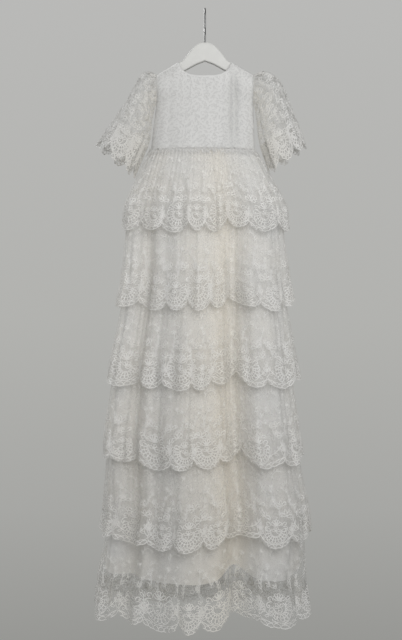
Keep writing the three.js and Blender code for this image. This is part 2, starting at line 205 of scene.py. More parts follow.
class Cloth:
    """A grid of points, rows from the top down, and its flat measure.

    A place on the flat cloth is (distance round, height above the line of the hem's tips).
    """

    def __init__(self, points, closed, tip_down, hem_down, fold_shade=None):
        self.points, self.closed = points, closed
        self.rows, self.columns = points.shape[0] - 1, points.shape[1]
        self.spans = self.columns if closed else self.columns - 1
        self.tip_down, self.hem_down = tip_down, hem_down
        # How much painted shade each point takes, 0 where there is none
        self.fold_shade = np.zeros(points.shape[:2]) if fold_shade is None else fold_shade
        self.normals = self.outward()
        self.arc = self.row_arc(LACE_MEASURE)
        self.width = float(self.arc[-1])
        self.cut_width = float(self.row_arc(CUT_MEASURE)[-1])

    def line(self, row):
        """The points of a row, back to its first one on a closed cloth."""
        points = self.points[row]
        return np.vstack([points, points[:1]]) if self.closed else points

    def row_arc(self, share):
        """Distance round the cloth at each column, at this share of the way down."""
        return distances(self.line(int(self.rows * share)))

    def hem_length(self):
        return float(distances(self.line(-2))[-1])

    def outward(self):
        p = self.points
        across = (np.roll(p, -1, axis=1) - np.roll(p, 1, axis=1)) / 2 if self.closed else np.gradient(p, axis=1)
        return unit(np.cross(np.gradient(p, axis=0), across))

    def column_at(self, distance):
        if self.closed:
            distance = np.mod(distance, self.width)
        return np.interp(distance, self.arc, np.arange(len(self.arc)))

    def per_column(self, values, column):
        if self.closed:
            return np.interp(np.mod(column, self.columns), np.arange(self.columns + 1), np.append(values, values[0]))
        return np.interp(column, np.arange(self.columns), values)

    def grid_place(self, flat):
        """(column, row) of flat places"""
        column = self.column_at(flat[:, 0])
        row = self.rows * (self.per_column(self.tip_down, column) - flat[:, 1]) / self.per_column(self.hem_down, column)
        return column, row

    def at(self, column, row):
        """Points, normals and amount of painted shade at real-valued grid places"""
        row = np.clip(row, 0, self.rows - 1e-6)
        if not self.closed:
            column = np.clip(column, 0, self.columns - 1 - 1e-6)
        r, c = np.floor(row).astype(int), np.floor(column).astype(int)
        fr, fc = (row - r)[:, None], (column - c)[:, None]
        c0, c1 = c % self.columns, (c + 1) % self.columns

        def mixed(grid):
            upper = grid[r, c0] * (1 - fc) + grid[r, c1] * fc
            lower = grid[r + 1, c0] * (1 - fc) + grid[r + 1, c1] * fc
            return upper * (1 - fr) + lower * fr

        return mixed(self.points), unit(mixed(self.normals)), mixed(self.fold_shade[..., None])[:, 0]

    def quads(self):
        """The grid's quads and, for each of their corners, its flat uv"""
        faces, columns, rows = grid_faces(self.rows, self.spans, self.closed)
        return faces, np.stack([self.arc[columns], -rows * self.height() / self.rows], -1)

    def height(self):
        """Mean length down the cloth"""
        return float(np.linalg.norm(np.diff(self.points, axis=0), axis=2).sum(axis=0).mean())

    def area(self):
        """Surface of the cloth"""
        p = np.concatenate([self.points, self.points[:, :1]], axis=1) if self.closed else self.points
        one, other = p[1:, 1:] - p[:-1, :-1], p[1:, :-1] - p[:-1, 1:]
        return float(np.linalg.norm(np.cross(one, other), axis=2).sum() / 2)


# Meshes

HEM_BAND_FADE = 22 * MM


def linked(name, data):
    """A new object with this data, in the scene."""
    obj = bpy.data.objects.new(name, data)
    bpy.context.scene.collection.objects.link(obj)
    return obj


def new_mesh(name, points, faces, uvs=None, fold_shade=None, band=None):
    """An object from arrays of points, quads and, for each face corner, uv."""
    mesh = bpy.data.meshes.new(name)
    mesh.vertices.add(len(points))
    mesh.vertices.foreach_set("co", np.ascontiguousarray(points, dtype=np.float32).ravel())
    corners = faces.shape[1]
    mesh.loops.add(faces.size)
    mesh.loops.foreach_set("vertex_index", faces.astype(np.int32).ravel())
    mesh.polygons.add(len(faces))
    mesh.polygons.foreach_set("loop_start", np.arange(0, faces.size, corners, dtype=np.int32))
    mesh.polygons.foreach_set("loop_total", np.full(len(faces), corners, dtype=np.int32))
    mesh.polygons.foreach_set("use_smooth", np.ones(len(faces), dtype=bool))
    if uvs is not None:
        layer = mesh.uv_layers.new(name="Flat")
        layer.data.foreach_set("uv", np.ascontiguousarray(uvs, dtype=np.float32).ravel())
    # The mask of painted shade goes on the mesh as a point attribute
    for key, values in (("fold_shade", fold_shade), ("band", band)):
        if values is not None:
            attribute = mesh.attributes.new(key, "FLOAT", "POINT")
            attribute.data.foreach_set("value", values.astype(np.float32).ravel())
    mesh.update()
    mesh.validate()
    return linked(name, mesh)


def grid_faces(rows, columns, closed):
    """Quads and their (column, row) corners, for a grid with this many spans."""
    r, c = np.meshgrid(np.arange(rows), np.arange(columns), indexing="ij")
    r, c = r.ravel(), c.ravel()
    corner_rows = np.stack([r, r + 1, r + 1, r], 1)
    corner_columns = np.stack([c, c, c + 1, c + 1], 1)
    wide = columns if closed else columns + 1
    faces = corner_rows * wide + (corner_columns % columns if closed else corner_columns)
    return faces, corner_columns, corner_rows


def sheet_object(name, cloth, border=0.0):
    """The cloth as a single thin layer. border is how high the dense work stands above the hem."""
    faces, uvs = cloth.quads()
    height = cloth.tip_down - cloth.hem_down * np.linspace(0, 1, cloth.rows + 1)[:, None]
    band = smoothstep((border - height) / HEM_BAND_FADE)
    return new_mesh(name, cloth.points.reshape(-1, 3), faces, uvs.reshape(-1, 2), cloth.fold_shade, band)


def wall_object(name, cloth, thickness):
    """The cloth as a closed wall: the grid is its outer face."""
    outer, uv = cloth.quads()
    count = cloth.points[..., 0].size
    inner = outer[:, ::-1] + count
    place = np.arange(count).reshape(cloth.points.shape[:2])
    if cloth.closed:
        place = np.hstack([place, place[:, :1]])
    edges = [place[0], place[-1, ::-1]]
    if not cloth.closed:
        edges += [place[::-1, 0], place[:, -1]]
    rims = [np.stack([edge[:-1], edge[1:], edge[1:] + count, edge[:-1] + count], 1) for edge in edges]
    rims = np.concatenate(rims)
    points = np.concatenate([cloth.points, cloth.points - cloth.normals * thickness]).reshape(-1, 3)
    uvs = np.concatenate([uv, uv[:, ::-1], np.zeros((len(rims), 4, 2))])
    fold_shade = np.concatenate([cloth.fold_shade, cloth.fold_shade])
    return new_mesh(name, points, np.concatenate([outer, inner, rims]), uvs.reshape(-1, 2), fold_shade)


# Lace drawn as raised ribbons on the flat cloth

BLADE_LIFT = 0.35 * MM
BLADE_CROWN = 0.3 * MM
CORD_LIFT = 0.4 * MM
# Cords that cross lie over one another, in this many layers
CORD_STEP = 0.03 * MM
CORD_LAYERS = 9


def aim(angle):
    """The flat direction at an angle in degrees from straight up."""
    return np.array([math.sin(math.radians(angle)), math.cos(math.radians(angle))])


def walk(turn, step):
    """The points reached by steps in these directions, in radians from straight up."""
    return np.cumsum(np.stack([np.sin(turn), np.cos(turn)], 1) * np.reshape(step, (-1, 1)), axis=0)


class Lace:
    """Ribbons, leaves and petals in flat measure, gathered as one mesh."""

    def __init__(self, bold=1.0):
        self.bold, self.parts, self.count = bold, [], 0

    def add(self, flat, lift, faces, along):
        self.parts.append((flat, lift, faces + self.count, along))
        self.count += len(flat)

    def joined(self):
        return [np.concatenate(part) for part in zip(*self.parts)]

    def strip(self, path, width, rise, across):
        """A strip along the path. rise and across go over its breadth, from rim to rim."""
        path, count = np.asarray(path, dtype=float), len(rise)
        tangent = unit(np.gradient(path, axis=0))
        side = np.stack([-tangent[:, 1], tangent[:, 0]], 1) * (np.broadcast_to(width, len(path)) / 2)[:, None]
        flat = path[:, None] + side[:, None] * np.linspace(-1, 1, count)[:, None]
        k = np.arange(len(path) - 1)[:, None] * count + np.array([count, count + 1, 1, 0])
        along = np.stack([np.repeat(distances(path), count), np.tile(across, len(path))], 1)
        faces = np.concatenate([k + place for place in range(count - 1)])
        self.add(flat.reshape(-1, 2), np.tile(rise, len(path)), faces, along)

    def ribbon(self, path, width, blade=False):
        """A crowned strip along the path. The middle of a blade is thinner work than its rims."""
        rise = [BLADE_LIFT, BLADE_LIFT + BLADE_CROWN, BLADE_LIFT]
        self.strip(path, width, rise, [-1, 0, 1] if blade else [1, 1, 1])

    def line(self, path, width):
        """A flat cord along the path."""
        lift = CORD_LIFT + CORD_STEP * (len(self.parts) % CORD_LAYERS)
        self.strip(path, width * self.bold, [lift, lift], [1, 1])

    def loops(self, base, angles, length, width, cord, points=8):
        """Drop-shaped loops of cord that spread from one base."""
        for angle in angles:
            self.line(loop_path(base, angle, length, width, points), cord)

    def leaf(self, base, angle, length, width, bend=0.0, points=5, power=0.75):
        """A pointed blade from base, angle in degrees from straight up, curved by bend."""
        s = np.linspace(0, 1, points)
        path = walk(math.radians(angle) + bend * s, length / (points - 1))
        path += np.asarray(base) - path[0]
        breadth = width * np.maximum(np.sin(math.pi * (0.04 + 0.92 * s)), 0.02) ** power
        self.ribbon(path, breadth, blade=True)

    def flower(self, centre, radius, petals):
        """Petals round a small ring."""
        centre = np.asarray(centre, dtype=float)
        for angle in 360 * np.arange(petals) / petals:
            self.leaf(centre + aim(angle) * radius * 0.28, angle, radius * 0.72, radius * 0.62, points=4, power=0.5)
        turn = np.linspace(0, 2 * math.pi, 7)
        self.line(centre + radius * 0.2 * np.stack([np.cos(turn), np.sin(turn)], 1), radius * 0.13)

    def stamp(self, motif, place, angle=0.0, size=1.0, mirror=False):
        """Adds another piece of lace, turned and sized, at a flat place."""
        flat, lift, faces, along = motif.joined()
        flat = flat * size
        if mirror:
            flat = flat * (-1, 1)
            faces = faces[:, ::-1]
        s, c = aim(angle)
        turned = np.stack([flat[:, 0] * c + flat[:, 1] * s, -flat[:, 0] * s + flat[:, 1] * c], 1)
        self.add(turned + np.asarray(place), lift, faces, along)

    def lay_on(self, name, cloth, lowest=0.0, margin=0.0, relief=1.0):
        """The lace as one object on the cloth. What runs off the cloth is left out."""
        flat, lift, faces, along = self.joined()
        column, row = cloth.grid_place(flat)
        inside = (row > margin) & (row <= cloth.rows + lowest)
        if not cloth.closed:
            inside &= (flat[:, 0] > 2 * MM) & (flat[:, 0] < cloth.width - 2 * MM)
        faces = faces[inside[faces].all(axis=1)]
        used = np.unique(faces)
        renumber = np.zeros(len(flat), dtype=int)
        renumber[used] = np.arange(len(used))
        points, normals, fold_shade = cloth.at(column[used], row[used])
        faces = renumber[faces]
        places = points + normals * relief * lift[used][:, None]
        return new_mesh(name, places, faces, along[used][faces].reshape(-1, 2), fold_shade)


def arc_path(start, end, sag, points):
    """A curve between two flat places that bows by sag."""
    s = np.linspace(0, 1, points)[:, None]
    start, across = np.asarray(start, dtype=float), np.subtract(end, start)
    side = unit(np.array([-across[1], across[0]]))
    return start + across * s + side * sag * np.sin(math.pi * s)


def loop_path(base, angle, length, width, points=8):
    """A closed drop-shaped loop from base, angle in degrees from straight up."""
    s = np.linspace(0, 2 * math.pi, points)
    along, out = length * (1 - np.cos(s)) / 2, width / 2 * np.sin(s) * (1.15 - 0.35 * np.cos(s))
    up = aim(angle)
    return np.asarray(base) + along[:, None] * up + out[:, None] * (up[1], -up[0])


def scroll_path(base, angle, reach, way, turns=1.3, points=14):
    """A cord that leaves base and rolls up into a curl."""
    s = np.linspace(0, 1, points)
    turn = math.radians(angle) + way * (2 * math.pi * turns) * s ** 1.5
    return np.asarray(base) + walk(turn, reach / points * (1.35 - s))


def sprig(height=40 * MM, leaves=4, curve=0.7, flower=6 * MM):
    """A bending stem with narrow leaves in pairs, a curl at its foot and a flower at its head."""
    lace = Lace()
    turn = curve * np.linspace(-1, 1, 9)
    path = walk(turn, height / 8) - (0, height / 2)
    lace.line(path, 0.8 * MM)
    for k in range(leaves):
        joint = 1 + int(k * 6 / leaves)
        for way in (1, -1):
            slope = math.degrees(turn[joint]) + 52 * way
            lace.leaf(path[joint], slope, (10.5 - 1.6 * k) * MM, 2.6 * MM, bend=-0.6 * way)
    lace.loops(path[-1], (-55, -18, 18, 55), 1.5 * flower, 0.5 * flower, 0.8 * MM, 7)
    s = np.linspace(0, 1.7 * math.pi, 8)
    lace.line(path[0] + 3.4 * MM * np.stack([1 - np.cos(s), -np.sin(s)], 1), 0.8 * MM)
    return lace


def spray(way=1):
    """A light scroll with leaves on its outer side only."""
    lace = Lace()
    turn = way * (2.4 * np.linspace(0, 1, 10) - 0.5)
    path = walk(turn, 3.1 * MM) - (8 * MM * way, 10 * MM)
    lace.line(path, 0.8 * MM)
    for k in (1, 3, 5, 7):
        lace.leaf(path[k], math.degrees(turn[k]) - 48 * way, 7.5 * MM, 2.3 * MM, bend=0.5 * way)
    lace.leaf(path[-1], math.degrees(turn[-1]), 6 * MM, 2.6 * MM)
    return lace


def curls(way=1):
    """Two rolled cords rising from one foot, with loops between them."""
    lace = Lace()
    foot = np.array([0, -12 * MM])
    lace.line(scroll_path(foot, 18 * way, 42 * MM, way, 1.15), 1.3 * MM)
    lace.line(scroll_path(foot, -42 * way, 32 * MM, -way, 1.0), 1.3 * MM)
    lace.loops(foot, np.array([-75, -12, 48, 88]) * way, 13 * MM, 4.6 * MM, 1.2 * MM, 7)
    lace.leaf(foot + (3 * MM * way, 8 * MM), 62 * way, 11 * MM, 3.0 * MM, bend=-0.5 * way)
    return lace


def bud():
    """A small three-leaved filling."""
    lace = Lace()
    for angle in (-50, 0, 50):
        lace.leaf((0, 0), angle, 7.5 * MM, 2.4 * MM, bend=-0.4 * np.sign(angle))
    lace.line([(0, 0), (0.6 * MM, -3 * MM), (0, -6.5 * MM)], 0.7 * MM)
    return lace


def small_vine(way=1):
    lace = Lace()
    s = np.linspace(-1, 1, 9)
    path = np.stack([3.2 * MM * way * np.sin(2.2 * s), 7 * MM * s], 1)
    lace.ribbon(path, 0.8 * MM)
    for k, angle in ((1, 60), (3, -62), (5, 58), (7, -55)):
        lace.leaf(path[k], angle * way, 4.6 * MM, 2.2 * MM, bend=-0.4 * way, points=4)
    return lace


def small_rosette():
    lace = Lace()
    lace.flower((0, 0), 4.4 * MM, 5)
    for side in (1, -1):
        lace.leaf((side * 4 * MM, 0), 180 - 90 * side, 4.5 * MM, 2.0 * MM, points=4)
    return lace


def scallop_border(width, rise, size=1.0, loops=9, lean=0.0, bold=1.0):
    """One repeat of the hem border, centred on its tip. rise gives the hem's height at a distance from it.

    lean, from -1 to 1, tips its fan to one side.
    """
    lace = Lace(bold)
    half, mm, tipped = width / 2, MM * size, 24 * lean
    across = np.linspace(-half, half, 25)
    lace.line(np.stack([across, rise(across) + 1.3 * MM], 1), 1.5 * MM)
    lace.line(np.stack([across, rise(across) + 10.5 * mm], 1), 1.2 * MM)
    loop = np.linspace(-half, half, loops * 8 + 1)
    wave = 7 * mm * np.sqrt(np.abs(np.sin(loops * math.pi * (loop / width + 0.5))))
    lace.line(np.stack([loop, rise(loop) + 2.0 * MM + wave], 1), 1.3 * MM)
    # A fan of drops over the edge, held by arcs
    heart = np.array([-9 * lean, 41]) * mm
    for angle in np.linspace(-98, 98, 12):
        down = 180 - angle - tipped
        long = 15 + 4 * lean * math.sin(math.radians(angle))
        lace.loops(heart + aim(down) * 13 * mm, [down], long * mm, 6.5 * mm, 1.3 * MM)
    for radius, reach in ((12, 118), (20, 92), (29.5, 62)):
        arc = np.radians(np.linspace(-reach, reach, 15) + tipped)
        lace.line(heart + radius * mm * np.stack([np.sin(arc), -np.cos(arc)], 1), 1.2 * MM)
    centre = heart + np.array([4 * lean, 2]) * mm
    lace.line(scroll_path(centre, 160, 30 * mm, math.copysign(1, lean), 1.1), 1.3 * MM)
    lace.loops(heart, np.array([-72, -24, 24, 72]) - 30 * lean, 10 * mm, 4.4 * mm, 1.2 * MM, 7)
    # Scrolls and leaved stems to both sides
    for side in (-1, 1):
        foot = heart + np.array([side * 13, 9]) * mm
        lace.line(scroll_path(foot, side * 70, 42 * mm, side, 1.2), 1.4 * MM)
        lace.line(scroll_path(foot, side * 8, 34 * mm, side, 1.0), 1.3 * MM)
        stem = arc_path(heart + np.array([side * 20, -16]) * mm, (side * half, 62 * mm), side * -6 * mm, 10)
        lace.line(stem, 1.3 * MM)
        for k in (1, 3, 5, 7):
            slope = math.degrees(math.atan2(*(stem[k + 1] - stem[k])))
            lace.leaf(stem[k], slope - 52 * side, 9 * mm, 3.0 * MM, bend=0.5 * side)
            lace.loops(stem[k], [slope + 55 * side], 10 * mm, 4.0 * mm, 1.1 * MM, 7)
        lace.loops((side * half, 26 * mm), [side * -28], 16 * mm, 5.5 * mm, 1.3 * MM)
    lace.loops(heart + (0, 12 * mm), (-60, -30, 0, 30, 60), 15 * mm, 5.0 * mm, 1.3 * MM)
    lace.loops((half, 38 * mm), (-50, -25, 0, 25, 50), 15 * mm, 4.4 * mm, 1.3 * MM, 7)
    return lace


def place_field(lace, rng, width, low, high, pitch, motifs, turned=28, scale=1.0):
    """Sprigs in staggered rows, each a little turned, between two heights."""
    rows = max(1, round((high - low) / (pitch * 0.86)))
    count = max(3, round(width / pitch))
    for r in range(rows + 1):
        height = low + (high - low) * r / rows
        for c in range(count):
            across = width * (c + 0.5 * (r % 2)) / count
            jitter = rng.uniform(-2, 2, 2) * MM
            lace.stamp(motifs[(c + r) % len(motifs)], (across + jitter[0], height + jitter[1]),
                       rng.uniform(-turned, turned), scale * rng.uniform(0.86, 1.08), rng.random() < 0.5)


# Skirt

SCALLOP_TOOTH = 1.8 * MM
SCALLOP_TEETH = 7
TIER_COLUMNS = 560
TIER_ROWS = 40
UNDERSKIRT_COLUMNS = 320
UNDERSKIRT_ROWS = 80
# Cord strength of each tier's lace, and the first tier with the whiter thread
TIER_BOLD = [0.85, 0.95, 1.1, 1.15, 1.2, 1.35]
WHITER_FROM = 2
# Lowest and highest row of motifs above the border and how far apart they are, in the upper tiers and the last
TIER_FIELD = (76 * MM, 96 * MM, 23 * MM)
LAST_TIER_FIELD = (88 * MM, 100 * MM, 38 * MM)
BUDS_FROM = 122 * MM
BUD_PITCH = 34 * MM


def uneven(phase):
    """Turns even scallop numbers into wide and narrow scallops by turns."""
    pair = np.floor(phase / 2) * 2
    inside = phase - pair
    wide = 2 * WIDE_SHARE
    return pair + np.where(inside < wide, inside / wide, 1 + (inside - wide) / (2 - wide))


def notch(number):
    """Even place of a notch. Inverse of uneven() at whole numbers."""
    return number + (2 * WIDE_SHARE - 1) * (number % 2)


def scallop_rise(phase, depth, teeth=SCALLOP_TEETH):
    """Hem height above the tips. phase counts scallops, whole at the notches; small teeth edge each one."""
    big = 1 - np.abs(np.sin(math.pi * phase)) ** 0.72
    small = 1 - np.abs(np.sin(math.pi * phase * teeth))
    return depth * big + SCALLOP_TOOTH * small


def ring_turn(u):
    t = 2 * math.pi * u
    return t - SIDE_SPREAD * np.sin(2 * t)


def skirt_cloth(u, top, tip, hem, rows, offset):
    """Cloth over the skirt's ground. u runs along the columns, offset(u, share) is its distance from it."""
    z = top + (hem - top) * np.linspace(0, 1, rows + 1)[:, None]
    turns = np.broadcast_to(ring_turn(u), z.shape)
    place, away = ground(turns, z)
    place = place + away * offset(np.broadcast_to(u, z.shape), (top - z) / (top - tip))[..., None]
    return Cloth(np.dstack([place, z]), True, top - tip, top - hem, fold_shade=painted_warm_shade(turns, z))


def tier_offset(index):
    """How far a tier stands off the underskirt: its flare, its gathers and the fine ripples of the seam."""
    rng = np.random.default_rng(100 + index)
    ring = np.linspace(0, 1, 4001)
    drift = 0.45 * ripple(rng, ring, 3, 9)
    strength = np.clip(1 + 0.35 * ripple(rng, ring, 4, 11), 0.35, 1.7)
    middle, fine = ripple(rng, ring, 26, 46, 12), ripple(rng, ring, 52, 84, 16)
    slow = ripple(rng, ring, 5, 12)

    def offset(u, share):
        at = {name: np.interp(u, ring, wave) for name, wave in
              (("drift", drift), ("strength", strength), ("middle", middle), ("fine", fine), ("slow", slow))}
        phase = u * GATHERS + (2 * index + 1) / 4 + at["drift"] * 0.35
        gathers = TIER_WAVE * np.sin(2 * math.pi * phase) * at["strength"] * share ** 1.1
        halfway = 0.6 * MM * at["middle"] * share ** 0.7 * (1 - 0.35 * share)
        start = smoothstep(share / 0.04)
        fines = FINE_GATHER * at["fine"] * np.exp(-2.2 * share) * start
        sway = 1.6 * MM * at["slow"] * share
        flare = 1.8 * MM * start + TIER_FLARE * share ** 0.8
        return CLOTH + SEAM_GAP + 0.5 * MM + np.maximum(flare + gathers + halfway + fines + sway, 0)

    return offset


def lace_tier(index):
    """One tier: its cloth, its net and its lace."""
    last = index == TIERS - 1
    shift = 0.8 * index
    u = np.arange(TIER_COLUMNS) / TIER_COLUMNS
    phase = uneven(u * SCALLOPS + shift)
    depths = SCALLOP_DEPTH * np.random.default_rng(500 + index).uniform(0.45, 0.85, SCALLOPS)
    open_folds = float(section("folds", np.array(UNDERSKIRT_HEM_Z if last else top_z(index + 1))))
    rng = np.random.default_rng(300 + index)
    tip = np.full(TIER_COLUMNS, hem_z(index)) + bump_sum(ring_turn(u), FOLDS, 3) * open_folds
    tip = tip + 1.8 * MM * ripple(rng, u, 3, 9)
    hem = tip + scallop_rise(phase, depths[np.floor(phase).astype(int) % SCALLOPS])
    cloth = skirt_cloth(u, top_z(index), tip, hem, TIER_ROWS, tier_offset(index))
    net = sheet_object(f"tier_{index + 1}_net", cloth, BORDER)

    lace = Lace()
    leans, sizes = rng.uniform(-1, 1, SCALLOPS), rng.uniform(0.9, 1.1, SCALLOPS)
    for k in range(SCALLOPS):
        notches = (np.mod(notch(n) - shift, SCALLOPS) / SCALLOPS * TIER_COLUMNS for n in (k, k + 1))
        left, right = (float(np.interp(c, np.arange(TIER_COLUMNS + 1), cloth.arc)) for c in notches)
        wide = float(np.mod(right - left, cloth.width))
        size = (1.12 if last else 1.0) * sizes[k] * (1.0, 0.85)[k % 2]
        motif = scallop_border(wide, lambda d: scallop_rise(d / wide + 0.5, depths[k]), size, 7 - k % 2,
                               leans[k], TIER_BOLD[index])
        lace.stamp(motif, (left + wide / 2, 0))
    field = [curls(), sprig(), curls(-1), sprig(32 * MM, 3, -0.6, 5 * MM)]
    if last:
        place_field(lace, rng, cloth.width, *LAST_TIER_FIELD, field[1::2])
    else:
        place_field(lace, rng, cloth.width, *TIER_FIELD, field)
    # The top of a lower tier is never seen, so its lace stops under the tier above
    high = top_z(index) - hem_z(index) - (TIER_LAP - 12 * MM if index else 6 * MM)
    place_field(lace, rng, cloth.width, BUDS_FROM, high, BUD_PITCH, [bud(), spray(), bud(), spray(-1)])
    work = lace.lay_on(f"tier_{index + 1}_lace", cloth, lowest=0.2, margin=1.0)
    return cloth, net, work


EDGING_COLUMNS = 640
EDGING_ROWS = 10
EDGING_REPEATS = 84
# Lowest and highest place of a row's motifs on the edging (mm) and how many repeats each of them takes
EDGING_FIELD = [(13, 18, 1), (8, 14, 1), (5, 9, 2)]


def waist_edging():
    """The looped lower edge of the bodice's lace, lying over the gathers."""
    u = np.arange(EDGING_COLUMNS) / EDGING_COLUMNS
    rng = np.random.default_rng(5)
    wavering = ripple(rng, u, 20, 44, 12)

    def offset(place, share):
        return CLOTH + SEAM_GAP + 0.7 * MM + (5.0 + 0.5 * around(wavering, place)) * MM * share

    tip = np.full(EDGING_COLUMNS, WAIST_Z - 15 * MM)
    cloth = skirt_cloth(u, WAIST_Z + 8 * MM, tip, tip, EDGING_ROWS, offset)
    lace = Lace()
    motifs = [small_vine(), small_rosette(), small_vine(-1)]
    for low, high, step in EDGING_FIELD:
        for k in range(EDGING_REPEATS // step):
            across = cloth.width * (k + rng.uniform(-0.3, 0.3)) * step / EDGING_REPEATS
            place = (across, rng.uniform(low, high) * MM)
            lace.stamp(motifs[k % 3], place, rng.uniform(-180, 180), rng.uniform(0.6, 0.9))
    return lace.lay_on("waist_edging", cloth)


def underskirt():
    u = np.arange(UNDERSKIRT_COLUMNS) / UNDERSKIRT_COLUMNS
    ripples = ripple(np.random.default_rng(7), u, 14, 30, 12)

    def offset(place, share):
        return 0.6 * MM + 0.5 * MM * around(ripples, place) * smoothstep(share / 0.1)

    hem = np.full(UNDERSKIRT_COLUMNS, UNDERSKIRT_HEM_Z) + bump_sum(ring_turn(u), FOLDS, 3)
    cloth = skirt_cloth(u, WAIST_Z - SEAM_GAP, hem, hem, UNDERSKIRT_ROWS, offset)
    return cloth, sheet_object("underskirt_cloth", cloth)


# Bodice

BODICE_HALF = 100 * MM
BODICE_ROWS = 56
NECK_TURN = 34.0
NECK_COLUMN_TURN = 32.8
NECK_SHARPNESS = 3.2
DEPTH_TOP = 27 * MM
DEPTH_WAIST = 36 * MM
ARMHOLE_DEPTH = 15 * MM
RIDGE_HALF = 7.5 * MM
RIDGE_DROP = 3.5 * MM
RIDGE_END = 40 * MM
SEAM_HALF = 0.2 * MM
LAP_HALF = 6 * MM
LAP_RISE = 2.1 * MM
LAP_START = 42 * MM
# How far the shoulder has rounded off at each distance (mm) below its edge
ROUND_OFF = [(0, 0), (3.5, 0.42), (9, 0.68), (16, 0.86), (30, 0.96), (52, 1)]
# Upright folds in front, the groove first: place, half width and how far it stands out (mm)
GROOVES = [(60, 9, -8.5), (42, 12, 2.0)]
SIDE_PLEAT = (-74, 8, -1.2)


def shoulder_z(x):
    neck_x = BODICE_HALF * math.sin(math.radians(NECK_TURN))
    return SHOULDER_NECK_Z + (SHOULDER_TIP_Z - SHOULDER_NECK_Z) * (np.abs(x) - neck_x) / (BODICE_HALF - neck_x)


def bell(x, middle, half, height=1.0):
    return height * np.exp(-((x / MM - middle) / half) ** 2)


def bodice_edge(size, u, neck_z):
    """Height and depth of a panel's upper edge, along the neck and then along the shoulder."""
    across = np.clip(u / math.sin(math.radians(NECK_COLUMN_TURN)), 0, 1)
    scoop = np.maximum(0, 1 - across ** NECK_SHARPNESS) ** (2 / NECK_SHARPNESS)
    neck_edge = SHOULDER_NECK_Z - RIDGE_DROP + (neck_z - SHOULDER_NECK_Z + RIDGE_DROP) * scoop
    neck_depth = RIDGE_HALF + (DEPTH_TOP - RIDGE_HALF) * np.sqrt(np.maximum(0, 1 - across ** 2))
    over = np.clip((size - NECK_COLUMN_TURN) / (NECK_TURN - NECK_COLUMN_TURN), 0, 1)
    neck = size < NECK_TURN
    return (np.where(neck, neck_edge + (SHOULDER_NECK_Z - neck_edge) * over, shoulder_z(BODICE_HALF * u)),
            np.where(neck, neck_depth + (SEAM_HALF - neck_depth) * over, SEAM_HALF))


def bodice_cloth(degrees, face, neck_z):
    """Outer face of a bodice panel. degrees runs across it, negative on the -X side; face is -1 in front."""
    size = np.abs(degrees)
    side = np.sign(degrees) + (degrees == 0)
    u, ahead = np.sin(np.radians(size)), np.cos(np.radians(size))
    edge_z, edge_depth = bodice_edge(size, u, neck_z)
    drop = (edge_z - WAIST_Z) * np.linspace(0, 1, BODICE_ROWS + 1)[:, None]
    z = edge_z - drop
    down = np.clip((UNDERARM_Z - z) / (UNDERARM_Z - WAIST_Z), 0, 1)
    left, right = SECTIONS[0, 1] * MM, SECTIONS[0, 2] * MM
    half = BODICE_HALF + ((right - left) / 2 - BODICE_HALF) * down
    x = (right + left) / 2 * down + side * half * u
    # The depth shrinks to the armhole at the sides
    hole_mid, hole_half = (SHOULDER_TIP_Z + UNDERARM_Z) / 2, (SHOULDER_TIP_Z - UNDERARM_Z) / 2
    reach = (z - hole_mid) / hole_half
    upper, lower = np.maximum(0, 1 - reach ** 2) ** 0.5, np.maximum(0, 1 - 0.25 * (reach - 0.2) ** 2) ** 3
    armhole = ARMHOLE_DEPTH * np.where(reach > 0, upper, lower * upper.max())
    full = armhole + (DEPTH_TOP + (DEPTH_WAIST - DEPTH_TOP) * down - armhole) * ahead
    drops, shares = np.array(ROUND_OFF).T
    depth = edge_depth + (full - edge_depth) * np.interp(drop, drops * MM, shares)
    ridge = RIDGE_HALF * smoothstep(drop / RIDGE_DROP) * (size >= NECK_COLUMN_TURN) * (drop < RIDGE_END)
    depth = np.maximum(np.maximum(depth, ridge), SEAM_HALF)
    # Soft upright folds where the gathered waist pulls
    wave = 1.1 * np.sin(x / (9.5 * MM) + 0.6 * np.sin(x / (23 * MM))) * smoothstep((WAIST_Z + 70 * MM - z) / (70 * MM))
    front = face < 0
    if front:
        grooves = sum(bell(x, *groove) for groove in GROOVES)
        wave = wave + grooves * smoothstep((z - WAIST_Z) / (45 * MM)) + bell(x, *SIDE_PLEAT)
    depth = depth + wave * MM * smoothstep(drop / (60 * MM)) * ahead
    # Painted shade beside the groove: the cloth there is tinted a shade darker
    painted_shade = bell(x, GROOVES[0][0], 15) * smoothstep(drop / (40 * MM)) * front
    points, length = np.stack([x, face * depth, z], -1), edge_z - WAIST_Z
    if not front:
        points, length = points[:, ::-1], length[::-1]
    cloth = Cloth(points, False, length, length, fold_shade=painted_shade)
    cloth.points = cloth.points + cloth.normals * CLOTH
    return cloth


def bodice_lace(name, cloth, seed):
    """Small vines and petals all over the panel."""
    lace = Lace()
    field = [small_vine(), small_rosette(), small_vine(-1), small_rosette()]
    high = float(np.max(cloth.tip_down)) - 2 * MM
    place_field(lace, np.random.default_rng(seed), cloth.width, 4 * MM, high, 9.5 * MM, field, 180, 0.8)
    return lace.lay_on(name, cloth, margin=1.2, relief=0.4)


